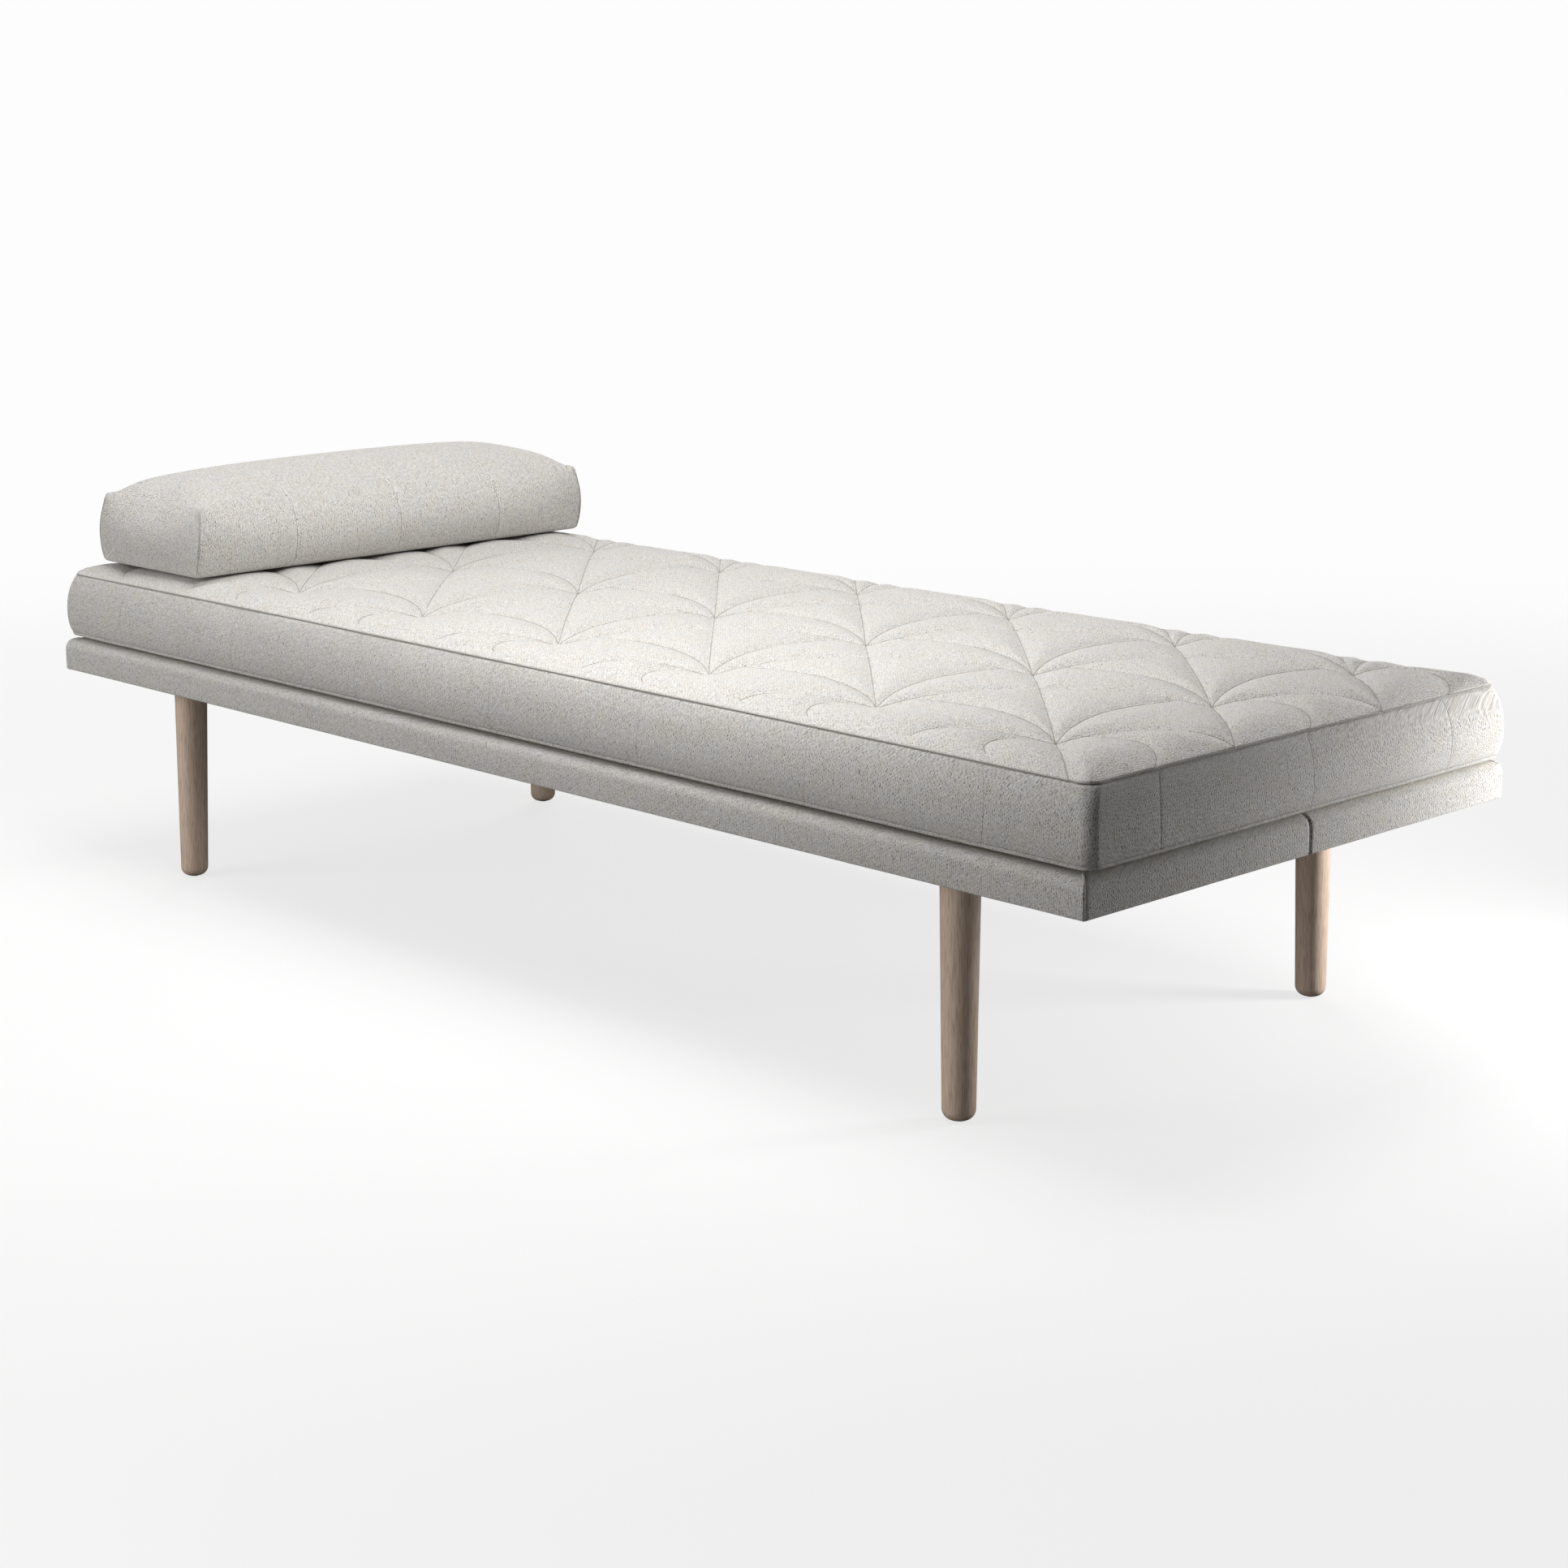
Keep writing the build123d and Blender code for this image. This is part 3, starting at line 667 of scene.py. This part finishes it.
def mattress_case():
    """Side band and bottom as one closed form: a profile carried round the mattress. From under
    the quilt it comes out to the top seam, bulges down the side, turns the rounded lower edge and
    runs in to the middle underneath. Upright seams and small puckers pull it in. Also returns the
    points of the upright seams and those of the row of stitches above the lower edge."""
    along_x = np.linspace(0, 1, 290)
    along_y = np.linspace(0, 1, 116)
    path = outline(along_x, along_y, 14)
    depth = SEAM_Z - MATTRESS_BOTTOM - GAP
    t = np.concatenate([
        [0.002, 0.012, 0.03, 0.055], np.linspace(0.085, 0.88, 15),
        [0.905, 0.925, 0.94, 0.95, 0.96, 0.975],
    ])
    drop = t * depth
    # fullest at WIDEST of the way down: a power curve above it and another below
    above = 1 - np.clip(1 - t / WIDEST, 0, 1) ** 2.5
    below = 1 - 0.55 * np.clip((t - WIDEST) / (1 - WIDEST), 0, 1) ** 2.2
    out = BULGE * np.where(t < WIDEST, above, below) - 2.2 * MM * bell(drop, 1.5 * MM)
    corner = CORNER - 5 * MM * np.sin(math.pi * np.clip(t, 0, 1)) ** 0.7
    roll = np.linspace(0, math.pi / 2, 6)[1:]
    roll_r = (1 - t[-1]) * depth
    out = np.concatenate([out, out[-1] - 1.6 * roll_r * (1 - np.cos(roll))])
    drop = np.concatenate([drop, drop[-1] + roll_r * np.sin(roll)])
    corner = np.concatenate([corner, np.full(len(roll), corner[-1])])
    t = drop / depth
    inner_in = np.array([SEAM_Y / MM, 250, 120, 60, 25, 8, 3]) * MM
    under_in = np.array([8, 22, 34, 120, 250, SEAM_Y / MM]) * MM
    offset = np.concatenate([-inner_in, out, -under_in])
    heights = np.concatenate([
        np.array([7, 7, 7, 7, 6, 4, 1.5]) * -MM,
        -drop,
        -depth - GAP * np.array([0, 0.5, 1, 1, 1, 1]),
    ])
    radius = np.concatenate([
        np.clip(CORNER - inner_in, 0.01 * MM, None),
        corner,
        np.clip(corner[-1] - under_in, 0.01 * MM, None),
    ])
    points = rings(path, SEAM_X + offset, SEAM_Y + offset, radius, SEAM_Z + heights)
    fx, fy, cx, cy = path
    along = run_lengths(points, 1)
    up = run_lengths(points, 0)
    at_side = np.zeros(len(offset))
    at_side[len(inner_in):len(inner_in) + len(drop)] = 1
    near_top = at_side * np.exp(-np.maximum(-heights, 0) / (9 * MM))
    near_low = at_side * bell(heights + depth - TOPSTITCH, 1.3 * MM)
    long_side = np.abs(fy) == 1
    short_side = (np.abs(fx) == 1) & ~long_side
    x_here = fx * SEAM_X
    y_here = fy * SEAM_Y
    to_seam_x = np.abs(x_here[:, None] - FAN_X).min(1)
    to_seam_y = np.abs(y_here[:, None] - FAN_Y).min(1)
    to_upright = np.where(long_side, to_seam_x, np.where(short_side, to_seam_y, 1.0))
    upright = 0.4 * MM * bell(to_upright, 3.2 * MM) * at_side[:, None]
    phase = along * 2 * math.pi / (15 * MM) + 3 * smooth_noise(along, up, 0.05, SEED + 2)
    pucker = 0.4 * MM * np.sin(phase)
    waves = 0.8 * MM * smooth_noise(along, up * 1.5, 0.19, SEED + 3) * at_side[:, None]
    gathers = pucker * (near_top[:, None] + 0.25 * near_low[:, None])
    move = waves - upright + gathers - 1.4 * MM * near_low[:, None]
    pull_x = END_PULL * (1 - np.abs(fy) ** 3) * (np.abs(fx) == 1)
    pull_y = SIDE_PULL * (1 - np.abs(fx) ** 3) * (np.abs(fy) == 1)
    top_pull = (1 - np.clip(t * 1.3, 0, 1)) ** 1.5
    pull_rows = np.concatenate([np.ones(len(inner_in)), top_pull, np.zeros(len(under_in))])
    points[..., 0] += move * cx - pull_rows[:, None] * pull_x * np.sign(fx)
    points[..., 1] += move * cy - pull_rows[:, None] * pull_y * np.sign(fy)
    uv = np.stack([along + 9.0, -up], 2)
    out_of = np.stack([cx + 0 * along, cy + 0 * along, 0 * along], 2)
    sides = slice(len(inner_in) + 2, len(inner_in) + len(drop) - 4)
    columns = [np.argmin(np.abs(x_here - x) + 9 * (fy != side)) for side in (-1, 1) for x in FAN_X]
    columns += [np.argmin(np.abs(y_here - y) + 9 * (fx != side)) for side in (-1, 1) for y in FAN_Y]
    seams = [points[sides, k] for k in columns]
    row = len(inner_in) + int(np.argmin(np.abs(drop - depth + TOPSTITCH)))
    return (points[::-1], uv[::-1]), seams, (points[row], out_of[row])


def seam_ring():
    """Points of the top seam line, pulled in as the quilt's edge is, and its outward normals."""
    fx, fy, cx, cy = outline(np.linspace(0, 1, 600), np.linspace(0, 1, 240), 8)
    r = 0.5 * MM
    return pulled_in(fx * (SEAM_X - r) + r * cx, fy * (SEAM_Y - r) + r * cy), (cx, cy)


def tube_along(ring, normal, z, radius):
    """An eight-sided closed cord of given radius along a level ring of points."""
    x, y = ring
    nx, ny = normal
    angle = np.linspace(0, 2 * math.pi, 9)
    px = x + radius * np.cos(angle)[:, None] * nx
    py = y + radius * np.cos(angle)[:, None] * ny
    pz = z + radius * np.sin(angle)[:, None] + 0 * x
    points = np.stack([px, py, pz], 2)
    along = run_lengths(points, 1)
    uv = np.stack([along, np.broadcast_to((angle * radius)[:, None], along.shape)], 2)
    return points, uv


# ---- stitches ----
STITCH_PITCH, STITCH_LENGTH, STITCH_RADIUS = 4.4 * MM, 3.6 * MM, 0.6 * MM


def stitches(name, paths):
    """Separate stitches along paths: each is a six-sided capsule lying along the path, three rings
    of points and a pole at each end. A path is (points, normals)."""
    centres, tangents, normals = [], [], []
    for points, normal in paths:
        run = travelled(points)
        count = int(run[-1] / STITCH_PITCH)
        if count < 1:
            continue
        at = (np.arange(count) + 0.5) * run[-1] / count
        place = lambda s, rows: np.stack([np.interp(s, run, rows[:, k]) for k in range(3)], 1)
        centres.append(place(at, points))
        tangents.append(place(at + 0.5 * MM, points) - place(at - 0.5 * MM, points))
        normals.append(place(at, normal))
    c, t, n = (np.concatenate(v) for v in (centres, tangents, normals))
    t /= np.linalg.norm(t, axis=1)[:, None]
    side = np.cross(t, n)
    side /= np.linalg.norm(side, axis=1)[:, None]
    n = np.cross(side, t)
    angle = np.repeat([np.linspace(0, 2 * math.pi, 7)[:-1]], 3, 0).ravel()
    ring_at = np.repeat([-0.36, 0.0, 0.36], 6)
    ring_r = np.repeat([0.8, 1.0, 0.8], 6)
    # the pole points first and last, the rings between them: one row of offsets for each axis
    along = np.concatenate([[-0.5], ring_at, [0.5]]) * STITCH_LENGTH
    across = np.concatenate([[0], ring_r * np.cos(angle), [0]]) * STITCH_RADIUS
    above = np.concatenate([[0], ring_r * np.sin(angle), [0]]) * STITCH_RADIUS
    shape = (
        c[:, None] + t[:, None] * along[:, None] + side[:, None] * across[:, None]
        + n[:, None] * (above + 0.25 * STITCH_RADIUS)[:, None]
    )
    k = np.arange(6)
    ahead = (k + 1) % 6
    first = np.stack([np.zeros(6, int), 1 + ahead, 1 + k], 1)
    last = np.stack([np.full(6, 19), 13 + k, 13 + ahead], 1)
    walls = np.concatenate([
        np.stack([1 + r * 6 + k, 1 + r * 6 + ahead, 7 + r * 6 + ahead, 7 + r * 6 + k], 1) for r in (0, 1)
    ])
    start = np.arange(len(c))[:, None, None] * 20
    caps = (np.concatenate([first, last])[None] + start).reshape(-1, 3)
    quads = (walls[None] + start).reshape(-1, 4)
    return dress(put_in_scene(name, new_mesh(name, shape.reshape(-1, 3), caps, quads)), thread)


def quilt_paths():
    """Stitch lines laid on the quilted top."""
    paths = []
    for line in LINES:
        run = travelled(line)
        at = np.linspace(0, run[-1], max(int(run[-1] / (4 * MM)), 3))
        x, y = np.interp(at, run, line[:, 0]), np.interp(at, run, line[:, 1])
        px, py = pulled_in(x, y)
        paths.append((np.stack([px, py, top_at(x, y)], 1), np.tile([0.0, 0.0, 1.0], (len(x), 1))))
    return paths


def build_mattress():
    """Quilted top, case, welt and the stitching on them."""
    quilt = dress(mesh_piece("quilted_top", quilted_top()), cloth)
    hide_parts("mattress_quilted_top")
    form, seams, low_row = mattress_case()
    case = dress(mesh_piece("mattress_case", [form]), cloth)
    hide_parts("mattress_side_band", "mattress_bottom_panel")
    ring, normal = seam_ring()
    cord = tube_along(ring, normal, SEAM_Z - 0.2 * MM, 0.8 * MM)
    # the welt takes the darker thread colour: partly painted shade of the top seam's groove, which its
    # recess also shades for real
    welt = dress(mesh_piece("mattress_welt", [cord]), thread)
    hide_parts("mattress_top_welt")
    paths = sorted(quilt_paths(), key=lambda path: path[0][:, 0].mean())
    third = math.ceil(len(paths) / 3)
    sewn = [stitches(f"quilting_stitches_{k + 1}", paths[k * third:(k + 1) * third]) for k in range(3)]
    tubes = [seam_tube(line, 0.25 * MM) for line in seams]
    uprights = dress(mesh_piece("mattress_upright_seams", tubes), thread)
    edging = stitches("lower_edge_stitches", [low_row])
    for piece in (quilt, case, welt, *sewn, uprights, edging):
        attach(piece, "mattress")


# ---- bolster ----
def box_patches(at, u, v, t):
    """Grids of the six sides of a box-like form, from at(u, v, t) with u, v from -1 to 1 and t
    from 0 to 1, wound outwards: top, underside, +X, -X, -Y and +Y sides."""
    u, v, t, across = u[None], v[:, None], t[:, None], v[None]
    return [
        at(u, v, 1.0), at(u, v[::-1], 0.0), at(1.0, across, t), at(-1.0, across[:, ::-1], t),
        at(u, -1.0, t), at(u[:, ::-1], 1.0, t),
    ]


def fill_with_pressure(piece, held, pressure, frames, most):
    """Swells a closed cloth form with the cloth solver: air pressure inside, no gravity, the held
    points fixed. No point ends more than most from its start."""
    before = points_of(piece.data)
    piece.vertex_groups.new(name="held").add(held.tolist(), 1.0, "REPLACE")
    solver = piece.modifiers.new("fill", "CLOTH")
    solver.settings.vertex_group_mass = "held"
    solver.settings.use_pressure = True
    solver.settings.uniform_pressure_force = pressure
    solver.settings.effector_weights.gravity = 0.0
    solver.settings.tension_stiffness = solver.settings.compression_stiffness = 15.0
    solver.settings.bending_stiffness = 0.5
    solver.point_cache.frame_start, solver.point_cache.frame_end = 1, frames
    for frame_number in range(1, frames + 1):
        bpy.context.scene.frame_set(frame_number)
    swollen = piece.evaluated_get(bpy.context.evaluated_depsgraph_get())
    after = points_of(swollen.data)
    piece.modifiers.remove(solver)
    piece.vertex_groups.clear()
    bpy.context.scene.frame_set(1)
    moved = after - before
    length = np.linalg.norm(moved, axis=1)[:, None]
    move_points(piece.data, before + moved * np.minimum(1, most / np.maximum(length, 1e-9)))


def between_seams(half, step, seams, tight=3 * MM):
    """Fractions -1 to 1 of a side of half length, about a step apart, with a line on each seam and
    one close on either side of it."""
    stops = np.concatenate([[-half], np.sort(seams), [half]])
    parts = [np.linspace(a, b, int(round((b - a) / step)) + 1) for a, b in zip(stops[:-1], stops[1:])]
    lines = np.concatenate(parts + [np.array(seams) - tight, np.array(seams) + tight])
    return np.unique(lines.round(6)) / half


BOLSTER_SEAMS = np.array([-195.0, 0.0, 195.0]) * MM
BOLSTER_WALL = 110 * MM               # height of the upright corner seams
UV_APART = 1.3                        # from one side to the next, so that their weaves differ


def bolster_half_sizes(t):
    """Half depth and half length of the cover at t of its wall's height."""
    bow = np.sin(math.pi * t)
    return 125 * MM + 3 * MM * t + 9 * MM * bow, 374 * MM - 7 * MM * t + 4 * MM * bow


def bolster_form():
    """The sewn cover before it is filled: a box whose corner seams bow out at mid height, with a
    low crown that is a little higher towards its far end. Returns its patches and its centre."""
    centre = (bolster_low + bolster_high) / 2
    wall, crown, top = BOLSTER_WALL, 15 * MM, (128 * MM, 367 * MM)

    def at(u, v, t):
        half_x, half_y = bolster_half_sizes(t)
        rise = np.where(t == 1, crown * (1 - u**2) * (1 - v**4) * (1 + 0.15 * v), 0)
        x, y, z = centre.x + u * half_x, centre.y + v * half_y, bolster_low.z + t * wall + rise
        return np.stack(np.broadcast_arrays(x, y, z), 2)

    step = 9 * MM
    v = between_seams(top[1], step, BOLSTER_SEAMS)
    u = np.linspace(-1, 1, int(2 * top[0] / step) + 1)
    t = np.linspace(0, 1, int(wall / step) + 1)
    sine, cosine = math.sin(math.radians(30)), math.cos(math.radians(30))
    sides = []
    for index, points in enumerate(box_patches(at, u, v, t)):
        along, up = run_lengths(points, 1) + index * UV_APART, run_lengths(points, 0)
        if index == 0:
            # the front runs on over the top, so its cloth does too
            along, up = up + 2 * UV_APART, wall + 2 * top[0] - along
        if index > 3:
            # on the ends it lies turned, its columns climbing at thirty degrees
            along, up = along * sine - up * cosine, along * cosine + up * sine
        sides.append((points, np.stack([along, up], 2)))
    return sides, centre


def seam_tube(points, radius):
    """A thin six-sided sewing-thread cord along a path of points, tapering away at both ends."""
    sides = 6
    tangent = np.gradient(points, axis=0)
    tangent /= np.linalg.norm(tangent, axis=1)[:, None]
    side = np.cross(tangent, [0.3, 0.5, 0.1])
    side /= np.linalg.norm(side, axis=1)[:, None]
    other = np.cross(tangent, side)
    t = np.linspace(0, 1, len(points))
    thick = radius * np.clip(np.minimum(t, 1 - t) / 0.06, 0.02, 1) ** 0.5
    angle = np.linspace(0, 2 * math.pi, sides + 1)
    ring = side[:, None] * np.cos(angle)[None, :, None] + other[:, None] * np.sin(angle)[None, :, None]
    shape = points[:, None] + ring * thick[:, None, None]
    ends = [np.repeat(shape[k:k + 1].mean(1, keepdims=True), sides + 1, 1) for k in (0, -1)]
    shape = np.concatenate([ends[0], shape, ends[1]])[::-1]
    return shape, shape[..., :2]


def eased(mesh, points, fixed, rounds):
    """Points moved towards the middle of their neighbours again and again, the fixed ones left."""
    ends = edge_ends(mesh)
    a, b = ends.T
    count = np.bincount(ends.ravel(), minlength=len(points))[:, None]
    for _ in range(rounds):
        total = np.zeros_like(points)
        np.add.at(total, a, points[b])
        np.add.at(total, b, points[a])
        points = np.where(fixed[:, None], points, 0.5 * points + 0.5 * total / count)
    return points


def crease_corner_seams(piece, corner):
    """Marks the edges along the upright corner seams so that subdivision keeps them crisp."""
    both = corner[edge_ends(piece.data)].all(1)
    crease = piece.data.attributes.new("crease_edge", "FLOAT", "EDGE")
    crease.data.foreach_set("value", np.where(both, 0.9, 0.0))


def laid_on(piece, lines, proud):
    """The lines moved to the nearest places on a finished piece, a little proud of it."""
    surface = BVHTree.FromObject(piece, bpy.context.evaluated_depsgraph_get())
    laid = []
    for line in lines:
        found = [surface.find_nearest(point)[:2] for point in line]
        laid.append(np.array([list(place + normal * proud) for place, normal in found]))
    return laid


def build_bolster():
    """The filled bolster: its form swollen by the cloth solver, upright seams drawn in after."""
    form, centre = bolster_form()
    piece = mesh_piece("bolster_cushion", form, merge=0.05 * MM)
    start = points_of(piece.data)
    held = np.flatnonzero(start[:, 2] < bolster_low.z + 0.1 * MM)
    fill_with_pressure(piece, held, pressure=12.0, frames=20, most=30 * MM)
    # where each point was on the sewn form: x and y from its centre, and its share of the wall
    x, y = start[:, 0] - centre.x, start[:, 1] - centre.y
    t = (start[:, 2] - bolster_low.z) / BOLSTER_WALL
    half_x, half_y = bolster_half_sizes(t)
    off_x, off_y = np.abs(x) - half_x, np.abs(y) - half_y
    front_or_back = (t < 1.001) & (np.abs(off_x) < 0.2 * MM)
    corner = front_or_back & (np.abs(off_y) < 0.2 * MM)
    on_top = y / half_y * bolster_half_sizes(1.0)[1]      # where the same column crosses the top edge
    to_seam = np.abs(on_top[:, None] - BOLSTER_SEAMS).min(1)
    points = eased(piece.data, points_of(piece.data), (t < 0.01) | corner, 12)
    # the upright seams are drawn in, less and less towards the top
    drawn = 2.2 * MM * bell(to_seam, 2.4 * MM) * np.clip(1.15 - t, 0, 1) ** 0.6
    points[:, 0] -= np.where(front_or_back, drawn, 0) * np.sign(x)
    # the top is fuller near its two ends, between the seams and the corners
    fuller = 4 * MM * bell(np.abs(y) - 340 * MM, 34 * MM) * np.clip((t - 0.8) * 5, 0, 1)
    points[:, 2] += fuller * np.clip(1 - (x / half_x) ** 4, 0, 1)
    # the tips of the corner seams stick out as small ears
    above_wall = start[:, 2] - bolster_low.z - BOLSTER_WALL
    ear = bell(np.sqrt(off_x**2 + off_y**2 + above_wall**2), 13 * MM)
    points += 1.5 * MM * ear[:, None] * np.stack([np.sign(x), np.sign(y), 0 * x], 1)
    move_points(piece.data, points)
    crease_corner_seams(piece, corner)
    smooth = piece.modifiers.new("smooth", "SUBSURF")
    smooth.levels = smooth.render_levels = 1
    lines = []
    for x_side in (-1, 1):
        here = front_or_back & (x * x_side > 0) & (t > 0.02)
        columns = [here & (np.abs(on_top - seam) < 0.5 * MM) & (t < 0.97) for seam in BOLSTER_SEAMS]
        lines += laid_on(piece, [points[column][np.argsort(t[column])] for column in columns], 0.1 * MM)
        upright = here & corner & (t > 0.06) & (t < 0.93)
        lines += [points[k][np.argsort(t[k])] for k in (upright & (y < 0), upright & (y > 0))]
    dress(piece, cloth)
    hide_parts("bolster_cover", "bolster_core", "bolster_bottom_panel")
    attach(piece, "bolster")
    seams = dress(mesh_piece("bolster_seams", [seam_tube(line, 0.45 * MM) for line in lines]), thread)
    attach(seams, "bolster")


# ---- carried-over nodes ----
def dress_nodes():
    """Materials for the CAD nodes that stay as they are, by the record's slots."""
    slots = {
        "pine": oak("sawn pine", "C9A46B", "DDBE8A", 7.0, 0.65),
        "plywood": oak("birch plywood", "C8A878", "D9BE92", 9.0, 0.6),
        "leg_wood": leg_oak,
        "foam": speckled("cut polyurethane foam", "E3D9B0", "EFE7C6", 1.2),
        "wadding": speckled("polyester wadding", "E4E4E0", "F4F4F2", 4.0, bump_mm=1.0),
        "felt": speckled("pressed felt", "4E463C", "6A6052", 0.8, bump_mm=0.2),
        "dust_cloth": speckled("bonded dust cloth", "1B1B1C", "2B2B2C", 1.5, bump_mm=0.1),
        "lining_cloth": speckled("lining cloth", "B7B1A6", "C8C3B9", 0.9, bump_mm=0.1),
        "woven_cloth": cloth,
        "zip_plastic": speckled("moulded nylon", "8F8A81", "9A958C", 2.0, rough=0.45, bump_mm=0.05),
        "zinc_steel": speckled(
            "zinc-plated steel", "A9ABAD", "C2C4C6", 3.0, rough=0.35, bump_mm=0.02, Metallic=1.0,
        ),
    }
    for part in frame["record"]["subparts"]:
        dress(frame["nodes"][part["node"]], slots[part["material_slot"]])


# ---- camera, light and floor ----
def build_camera():
    """Eye level just above the bed, three metres off its near corner, with a long lens."""
    data = bpy.data.cameras.new("camera")
    data.lens = 70.04
    data.sensor_width = 36.0
    data.shift_x = 0.0068
    data.shift_y = -0.22
    data.clip_end = 100.0
    camera = put_in_scene("camera", data)
    camera.location = (3.071, -2.916, 1.193)
    camera.rotation_euler = (math.radians(90 - 6.578), 0.0, math.radians(45.319))
    bpy.context.scene.camera = camera


def area_light(name, place, target, size, watts):
    """A square soft white light at place, facing target."""
    data = bpy.data.lights.new(name, "AREA")
    data.size = size
    data.energy = watts
    light = put_in_scene(name, data)
    light.location = place
    direction = np.array(target) - np.array(place)
    yaw = math.atan2(direction[1], direction[0]) - math.pi / 2
    pitch = math.atan2(direction[2], math.hypot(direction[0], direction[1]))
    light.rotation_euler = (math.pi / 2 + pitch, 0.0, yaw)
    light.visible_camera = False


def backdrop_material():
    """Matt white studio floor that fades into the pale backdrop a few metres from the object."""
    material, tree = new_material("pale studio floor")
    coords = add(tree, "TexCoord").outputs["Object"]
    away = add(tree, "VectorMath", {0: coords}, operation="LENGTH").outputs["Value"]
    fade = add(
        tree, "MapRange", {0: away, "From Min": 1.5, "From Max": 3.8}, interpolation_type="SMOOTHSTEP",
    )
    far = add(tree, "Emission", {"Color": linear("FDFDFD")})
    matt = add(tree, "BsdfDiffuse", {"Color": linear("F6F6F5")})
    near = add(tree, "MixShader", {0: 0.75, 1: matt, 2: far})
    seen = add(tree, "MixShader", {0: fade, 1: near, 2: far})
    # little light comes back up from the floor, as over a dark studio table
    bounced = add(tree, "BsdfDiffuse", {"Color": linear("505050")})
    from_camera = add(tree, "LightPath").outputs["Is Camera Ray"]
    both = add(tree, "MixShader", {0: from_camera, 1: bounced, 2: seen})
    add(tree, "OutputMaterial", {"Surface": both})
    return material


def build_stage():
    """Plain pale floor, pale backdrop, a large soft panel overhead, large soft ones in front and
    behind, one over the head end, and two small low ones for the legs and the foot end."""
    floor = mesh_piece("floor", [(
        np.array([[[-40, -40, 0], [40, -40, 0]], [[-40, 40, 0], [40, 40, 0]]], float),
        np.array([[[0, 0], [1, 0]], [[0, 1], [1, 1]]], float),
    )])
    dress(floor, backdrop_material())
    world = bpy.data.worlds.new("studio")
    world.use_nodes = True
    tree = world.node_tree
    tree.nodes.clear()
    seen = add(tree, "Background", {"Color": linear("FDFDFD"), "Strength": 1.0})
    light = add(tree, "Background", {"Color": linear("FFFFFF"), "Strength": 0.045})
    from_camera = add(tree, "LightPath").outputs["Is Camera Ray"]
    both = add(tree, "MixShader", {0: from_camera, 1: light, 2: seen})
    add(tree, "OutputWorld", {"Surface": both})
    bpy.context.scene.world = world
    bpy.context.scene.view_settings.view_transform = "Standard"
    area_light("overhead", (-0.2, 0.0, 2.9), (-0.2, 0.0, 0.4), 1.9, 50)
    area_light("head side", (0.5, -0.5, 1.5), (-0.9, 0.1, 0.5), 0.8, 15)
    area_light("foot end", (1.32, 0.82, 0.36), (1.0, 0.2, 0.34), 0.26, 10)
    area_light("front", (-1.9, -3.1, 1.2), (-0.6, -0.4, 0.4), 2.0, 62)
    area_light("low front", (1.15, -2.4, 0.12), (0.85, 0.1, 0.1), 0.3, 7)
    area_light("back", (-2.8, 3.0, 1.9), (0.0, 0.3, 0.4), 2.2, 58)


dress_nodes()
build_platform()
build_legs()
build_mattress()
build_bolster()
build_camera()
build_stage()
